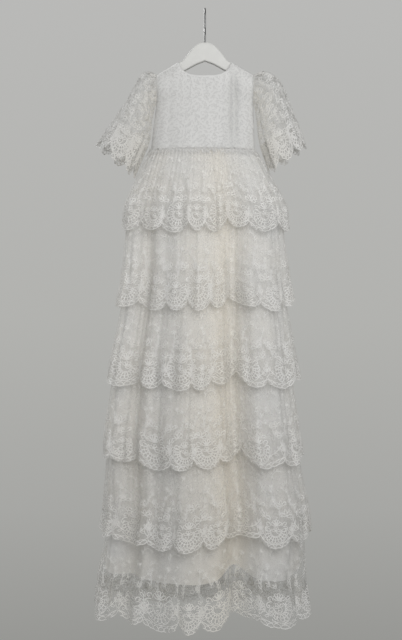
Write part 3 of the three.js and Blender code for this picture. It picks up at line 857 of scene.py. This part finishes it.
# Sleeves: upper edge x and z, lower edge x and z, half depth (mm), one row for each ring down the sleeve
LEFT_SLEEVE = [
    (-99.5, -137, -99.5, -191, 16.5),
    (-127, -141, -106, -202, 25),
    (-147, -162, -111, -219, 33),
    (-163, -192, -114.5, -243, 37),
    (-183, -222, -118.5, -272, 39),
    (-204, -253, -131, -303, 41),
    (-228, -290, -152, -352, 43),
]
RIGHT_SLEEVE = [
    (99.5, -137, 99.5, -191, 16.5),
    (133, -140, 104, -202, 25),
    (157, -155, 107, -219, 33),
    (172, -184, 110, -243, 37),
    (185, -218, 113, -270, 39),
    (198, -254, 122, -302, 41),
    (211, -294, 138, -346, 43),
]
SLEEVE_SCALLOPS = 8
SLEEVE_SCALLOP_DEPTH = 14 * MM
SLEEVE_SCALLOP_TEETH = 4
SLEEVE_COLUMNS = 288
SLEEVE_ROWS = 44
SLEEVE_LENGTH = 200 * MM
SLEEVE_GATHERS = 6
SLEEVE_BORDER_SIZE = 0.8
SLEEVE_FIELD = (58 * MM, 190 * MM, 23 * MM)


def spline_rows(rows, s):
    """Catmull-Rom through the rows at s from 0 to 1."""
    rows = np.asarray(rows, dtype=float)
    padded = np.vstack([2 * rows[0] - rows[1], rows, 2 * rows[-1] - rows[-2]])
    place = np.clip(s, 0, 1) * (len(rows) - 1)
    k = np.minimum(place.astype(int), len(rows) - 2)
    t = (place - k)[..., None]
    a, b, c, d = padded[k], padded[k + 1], padded[k + 2], padded[k + 3]
    return 0.5 * (2 * b + (c - a) * t + (2 * a - 5 * b + 4 * c - d) * t ** 2 + (3 * b - a - 3 * c + d) * t ** 3)


def sleeve_rise(phase):
    return scallop_rise(phase, SLEEVE_SCALLOP_DEPTH, SLEEVE_SCALLOP_TEETH)


def sleeve_cloth(table, side, seed):
    """A flared tube along the table's rings, gathered into the armhole and puffed below it."""
    u = np.arange(SLEEVE_COLUMNS) / SLEEVE_COLUMNS
    hem_down = SLEEVE_LENGTH - sleeve_rise(u * SLEEVE_SCALLOPS + 0.5)
    s = np.linspace(0, 1, SLEEVE_ROWS + 1)[:, None] * (hem_down / SLEEVE_LENGTH)
    upper_x, upper_z, lower_x, lower_z, depth = np.moveaxis(spline_rows(table, s) * MM, -1, 0)
    level = np.zeros_like(s)
    out, into = np.stack([upper_x, level, upper_z], -1), np.stack([lower_x, level, lower_z], -1)
    half = np.linalg.norm(out - into, axis=-1) / 2
    along, across = unit(out - into), np.array([0.0, side, 0.0])
    turn = 2 * math.pi * u
    upward, forward = np.cos(turn), np.sin(turn)
    away = unit(along * (upward / half)[..., None] + across * (forward / depth)[..., None])
    rng = np.random.default_rng(seed)
    strength = np.clip(1 + 0.4 * ripple(rng, u, 2, 5), 0.3, 1.8)
    gather = np.sin(2 * math.pi * (u * SLEEVE_GATHERS + 0.25 + 0.08 * ripple(rng, u, 2, 5))) * strength
    top = np.maximum(upward, 0)
    cap = ripple(rng, u, 5, 12, 12) * (0.35 + 0.65 * top) * np.exp(-2.4 * s) * smoothstep(s / 0.08)
    middle = ripple(rng, u, 9, 18) * s ** 0.6
    puff = np.exp(-((s - 0.15) / 0.1) ** 2) * top
    off = (4.2 * s ** 1.2 * gather + 0.8 * middle + 3.2 * cap + 6.0 * puff + 0.6) * MM
    points = (out + into) / 2 + along * (half * upward)[..., None] + across * (depth * forward)[..., None]
    points = points + away * off[..., None]
    # Painted warm shade on the inner side, towards the body, and along the seam at the armhole
    painted_shade = np.clip(0.45 - 0.75 * upward, 0, 1) * (1 - 0.4 * s) + 0.5 * np.exp(-s / 0.08)
    whole = np.full(SLEEVE_COLUMNS, SLEEVE_LENGTH)
    return Cloth(points, True, whole, hem_down, fold_shade=np.clip(painted_shade, 0, 1)), rng


def sleeve(name, table, side, seed):
    """One sleeve: its cloth, its net and its lace."""
    cloth, rng = sleeve_cloth(table, side, seed)
    net = sheet_object(f"{name}_net", cloth, SLEEVE_BORDER_SIZE * BORDER)
    lace = Lace()
    width = cloth.width / SLEEVE_SCALLOPS
    motif = scallop_border(width, lambda d: sleeve_rise(d / width + 0.5), SLEEVE_BORDER_SIZE, 6, 0.5, 1.25)
    flat, lift, faces, along = motif.joined()
    ring = np.linspace(0, 1, SLEEVE_COLUMNS + 1)
    for k in range(SLEEVE_SCALLOPS):
        centre, left = (np.interp((k - back) / SLEEVE_SCALLOPS % 1, ring, cloth.arc) for back in (0, 0.5))
        wide = 2 * np.mod(centre - left, cloth.width)
        lace.add(flat * (wide / width, 1) + (centre, 0), lift, faces, along)
    field = [sprig(32 * MM, 3, 0.6, 5.5 * MM), curls(), spray(), curls(-1)]
    place_field(lace, rng, cloth.width, *SLEEVE_FIELD, field)
    work = lace.lay_on(f"{name}_lace", cloth, lowest=0.2, margin=1.0)
    return cloth, net, work


# Hanger

HANGER_THICK = 11 * MM
HANGER_ROUND = 3.2 * MM
# Half of its outline from the hook round to the middle of its lower edge, x and z (mm)
ARM = [(x, float(shoulder_z(np.array(x * MM)) / MM) - 1.8) for x in (58, 93)]
HANGER_HALF = [
    (5, -69), (15, -72), (25, -80), (36, -93), (46, -107), *ARM,
    (88, -150), (57, -137), (38, -126), (18, -115), (0, -108),
]
HANGER_BEND_Z = -100
WIRE = 3.8 * MM
HOOK_INSIDE = 19 * MM
HOOK_END_TURN = -40


def hanger():
    """Flat white hanger: a smooth outline with well-rounded edges."""
    outline = HANGER_HALF + [(-x, z) for x, z in HANGER_HALF[:-1][::-1]]
    curve = bpy.data.curves.new("hanger_outline", "CURVE")
    curve.dimensions = "2D"
    curve.fill_mode = "BOTH"
    curve.extrude = HANGER_THICK / 2 - HANGER_ROUND
    curve.bevel_depth = HANGER_ROUND
    curve.bevel_resolution = 4
    curve.offset = -HANGER_ROUND
    spline = curve.splines.new("BEZIER")
    spline.bezier_points.add(len(outline) - 1)
    for point, (x, z) in zip(spline.bezier_points, outline):
        point.co = (x * MM, z * MM, 0)
        point.handle_left_type = point.handle_right_type = "VECTOR" if z < HANGER_BEND_Z else "AUTO"
    spline.use_cyclic_u = True
    spline.resolution_u = 10
    shape = linked("hanger_outline", curve)
    shape.rotation_euler = (math.pi / 2, 0, 0)
    bpy.context.view_layer.update()
    mesh = bpy.data.meshes.new_from_object(shape.evaluated_get(bpy.context.evaluated_depsgraph_get()))
    mesh.transform(shape.matrix_world)
    bpy.data.objects.remove(shape)
    mesh.name = "hanger_wood"
    mesh.polygons.foreach_set("use_smooth", np.ones(len(mesh.polygons), dtype=bool))
    return linked("hanger_wood", mesh)


def tube(name, path, radius, sides=20):
    """A round wire along a path in the YZ plane, with domed ends."""
    tangent = unit(np.gradient(path, axis=0))
    side = np.array([1.0, 0, 0])
    dome = [(0.9, 0.35), (0.6, 0.75)]
    head = [path[0] - tangent[0] * radius * away for away, _ in dome]
    tail = [path[-1] + tangent[-1] * radius * away for away, _ in dome[::-1]]
    sizes = np.array([size for _, size in dome] + [1.0] * len(path) + [size for _, size in dome[::-1]])
    up = np.cross(tangent, side)
    up = np.vstack([up[:1], up[:1], up, up[-1:], up[-1:]])
    rings = np.vstack([head, path, tail])
    turn = 2 * math.pi * np.arange(sides)[:, None] / sides
    points = rings[:, None] + radius * sizes[:, None, None] * (np.cos(turn) * side + np.sin(turn) * up[:, None])
    return ring_object(name, points)


def ring_object(name, points, inward=False):
    """A surface through closed rings of points."""
    sides = points.shape[1]
    faces, columns, rows = grid_faces(len(points) - 1, sides, True)
    uvs = np.stack([columns / sides, rows], -1).reshape(-1, 2)
    return new_mesh(name, points.reshape(-1, 3), faces[:, ::-1] if inward else faces, uvs)


def hook():
    radius = HOOK_INSIDE + WIRE / 2
    turn = np.radians(np.linspace(180, HOOK_END_TURN, 45))
    arc = np.stack([radius * np.cos(turn), radius * np.sin(turn) - HOOK_INSIDE], 1)
    leg = np.stack([np.full(8, -radius), np.linspace(-43 * MM, -20 * MM, 8)], 1)
    # From the end of the arc the wire bends in to the shank
    end, shank, shank_pull = arc[-1], np.array([0, -55 * MM]), np.array([0, -45 * MM])
    last = math.radians(HOOK_END_TURN)
    pull = end + np.array([math.sin(last), -math.cos(last)]) * 12 * MM
    s = np.linspace(0, 1, 16)[1:, None]
    bend = (1 - s) ** 3 * end + 3 * (1 - s) ** 2 * s * pull + 3 * (1 - s) * s ** 2 * shank_pull + s ** 3 * shank
    stem = np.stack([np.zeros(5), np.linspace(-57, -71, 5) * MM], 1)
    path = np.vstack([leg, arc, bend, stem])
    return tube("hook_wire", np.column_stack([np.zeros(len(path)), path]), WIRE / 2)


# Buttons

BUTTONS = 4
FIRST_BUTTON_Z = -142 * MM
BUTTON_PITCH = 44 * MM
# Radius and height over the cloth (mm), from the underside round to the middle of the face
BUTTON_PROFILE = [
    (0.6, 0.1), (4, 0), (4.8, 0.7), (5, 1.3), (4.6, 2.0), (3.8, 2.3), (3.2, 2.0), (1.5, 2.2), (0.05, 2.5),
]


def button(index, sides=28):
    z = FIRST_BUTTON_Z - BUTTON_PITCH * index
    down = min(max((UNDERARM_Z - z) / (UNDERARM_Z - WAIST_Z), 0), 1)
    y = DEPTH_TOP + (DEPTH_WAIST - DEPTH_TOP) * down + LAP_RISE + CLOTH + SEAM_GAP
    turn = 2 * math.pi * np.arange(sides) / sides
    rings = [(r * np.cos(turn), np.full(sides, h), r * np.sin(turn)) for r, h in BUTTON_PROFILE]
    points = np.moveaxis(np.array(rings), 1, 2) * MM + (0, y, z)
    return ring_object(f"pearl_button_{index + 1}", points, inward=True)


# Stitching

HEM_STITCH = 14 * MM
STITCH_RISE = [0.1 * MM, 0.4 * MM, 0.1 * MM]


def stitches(name, cloth, column, row, length=2.2 * MM, gap=1.0 * MM, width=0.55 * MM):
    """Short raised stitches along a path of grid places, of which column or row may stay the same."""
    path = np.stack(np.broadcast_arrays(column, row), 1)
    steps = distances(cloth.at(*path.T)[0])
    starts = np.arange(gap, steps[-1] - length, length + gap)
    s = starts[:, None] + np.array([0, length / 2, length])
    places = [np.interp(s, steps, line).ravel() for line in path.T]
    p, n, _ = cloth.at(*places)
    p, n = p.reshape(-1, 3, 3), n.reshape(-1, 3, 3)
    side = unit(np.cross(n, (p[:, 2] - p[:, 0])[:, None])) * width / 2
    middle = p + n * np.array(STITCH_RISE)[:, None]
    points = np.stack([middle - side, middle + side], 2).reshape(-1, 3)
    first = 6 * np.arange(len(starts))[:, None] + np.array([0, 1, 3, 2])
    faces = np.concatenate([first, first + 2])
    return new_mesh(name, points, faces, np.zeros((faces.size, 2)))


# Materials

# Cells to a metre in the net, its scrolls and the close work at its hem, and of the drift that bends them
NET_CELLS, SCROLL_CELLS, CLOSE_CELLS, NET_DRIFT = 520.0, 62.0, 170.0, 70.0


class Shading:
    """The node tree of a material or of the world, and the node at its end."""

    def __init__(self, owner, last="Principled BSDF"):
        owner.use_nodes = True
        self.owner, self.tree = owner, owner.node_tree
        self.last = self.tree.nodes[last]

    def wire(self, socket, value):
        """Links an output to the socket, or sets the socket to a plain value."""
        if isinstance(value, bpy.types.NodeSocket):
            self.tree.links.new(value, socket)
        else:
            socket.default_value = value

    def finish(self, **values):
        """Fills the inputs of the last node."""
        for name, value in values.items():
            self.wire(self.last.inputs[name.replace("_", " ")], value)
        return self.owner

    def node(self, kind, *sources, **values):
        """The outputs of a new node. sources fill its inputs in order, values fill them by name or are settings."""
        made = self.tree.nodes.new("ShaderNode" + kind)
        for key, value in values.items():
            name = key.replace("_", " ")
            if name in made.inputs:
                self.wire(made.inputs[name], value)
            else:
                setattr(made, key, value)
        for socket, value in zip(made.inputs, sources):
            self.wire(socket, value)
        return made.outputs

    def flat(self):
        """The place on the flat cloth."""
        return self.node("UVMap", uv_map="Flat")["UV"]

    def place(self):
        return self.node("TexCoord")["Object"]

    def math(self, operation, *values):
        return self.node("Math", *values, operation=operation)["Value"]

    def span(self, value, low=0.0, high=1.0, start=0.0, end=1.0):
        """Carries values from low to high over to start to end."""
        return self.node("MapRange", Value=value, From_Min=low, From_Max=high, To_Min=start, To_Max=end)["Result"]

    def mix(self, factor, first, second):
        """A colour between two, each of them a triple or an output."""
        made = self.tree.nodes.new("ShaderNodeMix")
        made.data_type = "RGBA"
        for k, value in ((0, factor), (6, first), (7, second)):
            self.wire(made.inputs[k], (*value, 1) if isinstance(value, (tuple, list)) else value)
        return made.outputs[2]

    def noise(self, scale, detail, vector=None, **values):
        return self.node("TexNoise", Vector=vector or self.place(), Scale=scale, Detail=detail, **values)["Fac"]

    def bump(self, height, strength, depth):
        return self.node("Bump", Height=height, Strength=strength, Distance=depth)["Normal"]

    def cells(self, vector, scale, randomness):
        """Distance from the edges of a cell pattern."""
        return self.node("TexVoronoi", Vector=vector, Scale=scale, Randomness=randomness,
                         feature="DISTANCE_TO_EDGE")["Distance"]

    def threads(self, vector, scale, inner, outer):
        """Thread lines between the cells of a pattern: 1 on a line, 0 off it."""
        return self.span(self.cells(vector, scale, 0.8), inner, outer, 1.0, 0.0)

    def painted_fold_tint(self, pale, warm, scale, mottle):
        """Pale cloth with painted shade: it turns to the second colour deep in the folds, as far as the mask of painted
        shade asks, with faint clouding.
        """
        fold_shade = self.node("Attribute", attribute_name="fold_shade")["Fac"]
        base = self.mix(self.span(fold_shade, 0.0, 0.9), pale, warm)
        clouds = self.span(self.noise(scale, 3.0), 0.3, 0.7, 0.0, mottle)
        return self.mix(clouds, base, [0.93 * c for c in warm])


def material(name):
    return Shading(bpy.data.materials.new(name))


def net_material(name, white, hold=0.55, scrolls=0.35):
    """Fine net with faint scrolls all over it and close work along the hem, in the cloth's flat measure.

    white is how pale its threads are and hold how much they cover.
    """
    made = material(name)
    uv = made.flat()
    drift = made.node("TexNoise", Vector=uv, Scale=NET_DRIFT, Detail=1.0)["Color"]
    centred = made.node("VectorMath", drift, (0.5, 0.5, 0.5), operation="SUBTRACT")["Vector"]
    bent = made.node("VectorMath", centred, operation="SCALE", Scale=0.014)["Vector"]
    moved = made.node("VectorMath", uv, bent, operation="ADD")["Vector"]
    scroll = made.math("MULTIPLY", made.threads(moved, SCROLL_CELLS, 0.02, 0.055), scrolls)
    band = made.node("Attribute", attribute_name="band")["Fac"]
    close = made.math("MULTIPLY", made.threads(moved, CLOSE_CELLS, 0.05, 0.17), band)
    cover = made.math("MAXIMUM", scroll, made.math("MULTIPLY", close, 0.5))
    # warm is the painted shade deep in the folds, lighter and warmer than the threads, standing in for bounced light
    pale, warm = ([white * c for c in tint] for tint in ((1.0, 0.995, 0.975), (1.2, 1.14, 1.03)))
    covered = [0.3 + white * c for c in (0.75, 0.745, 0.72)]
    mesh = made.span(made.cells(uv, NET_CELLS, 0.25), 0.06, 0.2, hold, 0.05)
    return made.finish(
        Base_Color=made.mix(cover, made.painted_fold_tint(pale, warm, 9.0, 0.2), covered),
        Alpha=made.math("MAXIMUM", mesh, cover), Roughness=0.85, Sheen_Weight=0.1)


def lace_material(name, white, warm=(1.0, 0.97, 0.90)):
    """Raised thread, closer along the rims of a blade than in its middle."""
    made = material(name)
    uv = made.flat()
    rim = made.math("ABSOLUTE", made.node("SeparateXYZ", uv)["Y"])
    thread = made.node("TexWave", Vector=uv, Scale=900.0, Distortion=1.5)["Fac"]
    # warm tints the painted shade deep in the folds
    pale, deep = ([white * c for c in tint] for tint in ((1.0, 0.995, 0.98), warm))
    return made.finish(
        Base_Color=made.painted_fold_tint(pale, deep, 30.0, 0.2), Alpha=made.span(rim, 0.40, 0.62, 0.55, 0.95),
        Normal=made.bump(thread, 0.4, 0.0003), Roughness=0.8, Sheen_Weight=0.15)


def weave_material(name, pale, warm, scale=1100.0, depth=0.0002, roughness=0.75, mottle=0.4):
    """Plain woven cloth with a fine over-and-under grain."""
    made = material(name)
    uv = made.flat()
    grain = made.node("TexChecker", Vector=uv, Scale=scale)["Fac"]
    height = made.math("ADD", grain, made.noise(scale * 0.4, 2.0, uv))
    return made.finish(
        Base_Color=made.painted_fold_tint(pale, warm, 14.0, mottle), Normal=made.bump(height, 0.35, depth),
        Roughness=roughness, Sheen_Weight=0.12)


def paint_material():
    """White paint with faint brush marks along the hanger."""
    made = material("white_paint")
    brushed = made.node("Mapping", made.place(), Scale=(0.08, 1, 1))["Vector"]
    return made.finish(
        Base_Color=made.mix(made.noise(60.0, 4.0), (0.74, 0.74, 0.715), (0.66, 0.66, 0.64)),
        Normal=made.bump(made.noise(400.0, 2.0, brushed), 0.25, 0.0003), Roughness=0.42)


def wire_material():
    made = material("plated_wire")
    clouds = made.noise(180.0, 3.0)
    return made.finish(
        Base_Color=made.mix(clouds, (0.24, 0.24, 0.24), (0.16, 0.16, 0.16)),
        Roughness=made.span(clouds, start=0.22, end=0.4), Metallic=1.0)


def pearl_material():
    made = material("pearl")
    clouds = made.noise(260.0, 2.0, Distortion=1.5)
    return made.finish(
        Base_Color=made.mix(clouds, (0.88, 0.83, 0.75), (0.74, 0.68, 0.62)), Roughness=0.22, Coat_Weight=0.4)


def floor_material():
    """Pale ground that fades out round its rim."""
    made = material("floor")
    away = made.node("VectorMath", made.place(), operation="LENGTH")["Value"]
    return made.finish(
        Base_Color=made.mix(made.noise(6.0, 3.0), (0.62, 0.62, 0.61), (0.58, 0.58, 0.57)),
        Alpha=made.span(away, 0.55, 0.85, 1.0, 0.0), Roughness=0.9)


# Scene

CAMERA_DISTANCE = 2.3
CAMERA_PLACE = (-8.4 * MM, -CAMERA_DISTANCE, -651 * MM)
PICTURE_HEIGHT = 640 * 2.1 * MM
FLOOR_Z = -1.62
FLOOR_HALF = 0.9
# The wall's shades between its lowest and its highest part: place and brightness
WALL_SHADES = [(0.2, 0.385), (0.5, 0.445)]
# Name, place, what it points at, size and power
LIGHTS = [
    ("key", (0.45, -1.5, 0.2), (0.03, 0, -0.4), 1.5, 16.5),
    ("back", (-1.3, 1.5, 0.9), (0, 0, -0.5), 1.0, 27),
    ("fill", (-0.5, -1.2, 0.5), (0, 0, -0.2), 0.8, 1.5),
]


def camera():
    """Level with the middle of the gown, far enough for its 2.1 mm to a pixel."""
    data = bpy.data.cameras.new("camera")
    data.sensor_fit = "VERTICAL"
    data.sensor_height = 24
    data.lens = data.sensor_height * CAMERA_DISTANCE / PICTURE_HEIGHT
    obj = linked("camera", data)
    obj.location = CAMERA_PLACE
    obj.rotation_euler = (math.pi / 2, 0, 0)
    bpy.context.scene.camera = obj


def area_light(name, place, target, size, power):
    data = bpy.data.lights.new(name, "AREA")
    data.shape = "DISK"
    data.size = size
    data.energy = power
    obj = linked(name, data)
    obj.location = place
    way = np.subtract(target, place)
    obj.rotation_euler = (math.atan2(math.hypot(way[0], way[1]), -way[2]), 0, math.atan2(way[1], way[0]) - math.pi / 2)


def studio():
    """A pale wall behind the gown, a dimmer room in front of it, soft lights and a floor."""
    world = bpy.data.worlds.new("studio")
    bpy.context.scene.world = world
    made = Shading(world, "Background")
    way = made.node("SeparateXYZ", made.node("TexCoord")["Generated"])
    ramp = made.tree.nodes.new("ShaderNodeValToRGB")
    made.wire(ramp.inputs["Fac"], made.span(way["Z"], -0.28, 0.28))
    stops = ramp.color_ramp.elements
    stops[0].color = (0.31, 0.311, 0.297, 1)
    stops[1].color = (0.487, 0.487, 0.477, 1)
    for place, shade in WALL_SHADES:
        stops.new(place).color = (shade, shade * 1.003, shade * 0.965, 1)
    room = made.span(way["Y"], -0.2, 0.6)
    made.finish(Color=made.mix(room, (0.28, 0.28, 0.275), ramp.outputs["Color"]))
    bpy.context.scene.view_settings.view_transform = "Standard"
    for light in LIGHTS:
        area_light(*light)

    faces, _, _ = grid_faces(24, 24, False)
    side = np.linspace(-FLOOR_HALF, FLOOR_HALF, 25)
    x, y = np.meshgrid(side, -side)
    floor = new_mesh("floor", np.stack([x, y, np.zeros_like(x)], -1).reshape(-1, 3), faces)
    floor.location = (0, 0, FLOOR_Z)
    floor.data.materials.append(floor_material())


def dress(obj, surface, slot_name, *nodes):
    """Gives a piece its material and the body it rides on, and hides the nodes it stands for. slot_name is not used."""
    obj.data.materials.clear()
    obj.data.materials.append(surface)
    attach(obj, "root")
    if nodes:
        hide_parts(*nodes)


def dress_skirt(lining, thread, bodice_work, clear_net):
    cloth, under = underskirt()
    dress(under, lining, "lining", "underskirt")
    hem_row = cloth.rows * (1 - HEM_STITCH / cloth.height())
    columns = np.linspace(0, cloth.columns - 1e-3, 900)
    hem_stitch = stitches("underskirt_hem_stitch", cloth, columns, hem_row)
    dress(hem_stitch, thread, "lining")
    cloth.hem_length()
    cloth.height()
    cloth.area()

    edging = waist_edging()
    dress(edging, bodice_work, "bodice_lace")
    upper_work, work = lace_material("upper_work", 0.94), lace_material("lace_work", 0.97)
    # Painted light and shade: the nets are lit and shaded copies of one net, their threads painted darker on the first
    # tier, which tilts up to the lamp, and on the fifth and the lowest, where the light falls off lower down
    net = net_material("net", 0.85)
    nets = [net_material("first_net", 0.73), net, net, net, net_material("low_net", 0.79), clear_net]
    for index in range(TIERS):
        cloth, sheet, lace = lace_tier(index)
        dress(sheet, nets[index], "sheer_lace", f"lace_tier_{index + 1}")
        dress(lace, work if index >= WHITER_FROM else upper_work, "sheer_lace")
        cloth.height()


def dress_bodice(panel, thread, bodice_work):
    lap = math.degrees(math.asin(LAP_HALF / BODICE_HALF))
    panels = {
        "bodice_front": bodice_cloth(np.linspace(-90, 90, 141), -1, FRONT_NECK_Z),
        "bodice_back_right": bodice_cloth(np.linspace(-lap, 90, 81), 1, BACK_NECK_Z),
        "bodice_back_left": bodice_cloth(np.linspace(-90, lap, 81), 1, BACK_NECK_Z),
    }
    over = panels["bodice_back_right"]
    over.points[..., 1] += LAP_RISE * smoothstep((LAP_START - over.points[..., 0]) / (LAP_START - LAP_HALF))
    for seed, (name, cloth) in enumerate(panels.items()):
        wall = wall_object(f"{name}_panel", cloth, CLOTH)
        dress(wall, panel, "bodice_lace", name)
        lace = bodice_lace(f"{name}_lace", cloth, 60 + seed)
        dress(lace, bodice_work, "bodice_lace")
        trims = [stitches(f"{name}_stitch", cloth, np.linspace(0, cloth.columns - 1, 400), cloth.rows * 0.985)]
        if name == "bodice_back_right":
            down = np.linspace(1, cloth.rows - 1, 400)
            trims.append(stitches("placket_stitch", cloth, cloth.columns - 3.5, down, 2.6 * MM, 1.4 * MM, 0.9 * MM))
        for trim in trims:
            dress(trim, thread, "bodice_lace")
        cloth.area()


def main():
    camera()
    studio()
    # The clearest net, its threads painted darker as painted shade for the lowest tier, where the light falls off; the
    # sleeves wear it too
    clear_net = net_material("clear_net", 0.62, 0.20, 0.16)
    # The second colour of each cloth, and the tint given to the bodice's lace, is painted shade for deep in the folds
    bodice_work = lace_material("bodice_work", 0.80, (0.93, 0.93, 0.925))
    lining = weave_material("lining_weave", (0.83, 0.83, 0.82), (0.94, 0.895, 0.81))
    panel = weave_material("bodice_weave", (0.765, 0.765, 0.755), (0.69, 0.69, 0.675), 700.0, 0.0004, 0.85, 0.15)
    thread = weave_material("thread", (0.82, 0.81, 0.78), (0.76, 0.74, 0.70), 2400.0)
    dress_skirt(lining, thread, bodice_work, clear_net)

    sleeve_work = lace_material("sleeve_work", 0.80)
    for name, table, side, seed in (("sleeve_left", LEFT_SLEEVE, -1, 41), ("sleeve_right", RIGHT_SLEEVE, 1, 42)):
        cloth, sheet, lace = sleeve(name, table, side, seed)
        dress(sheet, clear_net, "sheer_lace", name)
        dress(lace, sleeve_work, "sheer_lace")
        cloth.height()

    dress_bodice(panel, thread, bodice_work)
    dress(hanger(), paint_material(), "hanger_paint", "hanger_body")
    dress(hook(), wire_material(), "hook_wire", "hanger_hook")
    pearl = pearl_material()
    for index in range(BUTTONS):
        dress(button(index), pearl, "button_pearl", f"button_{index + 1}")


main()
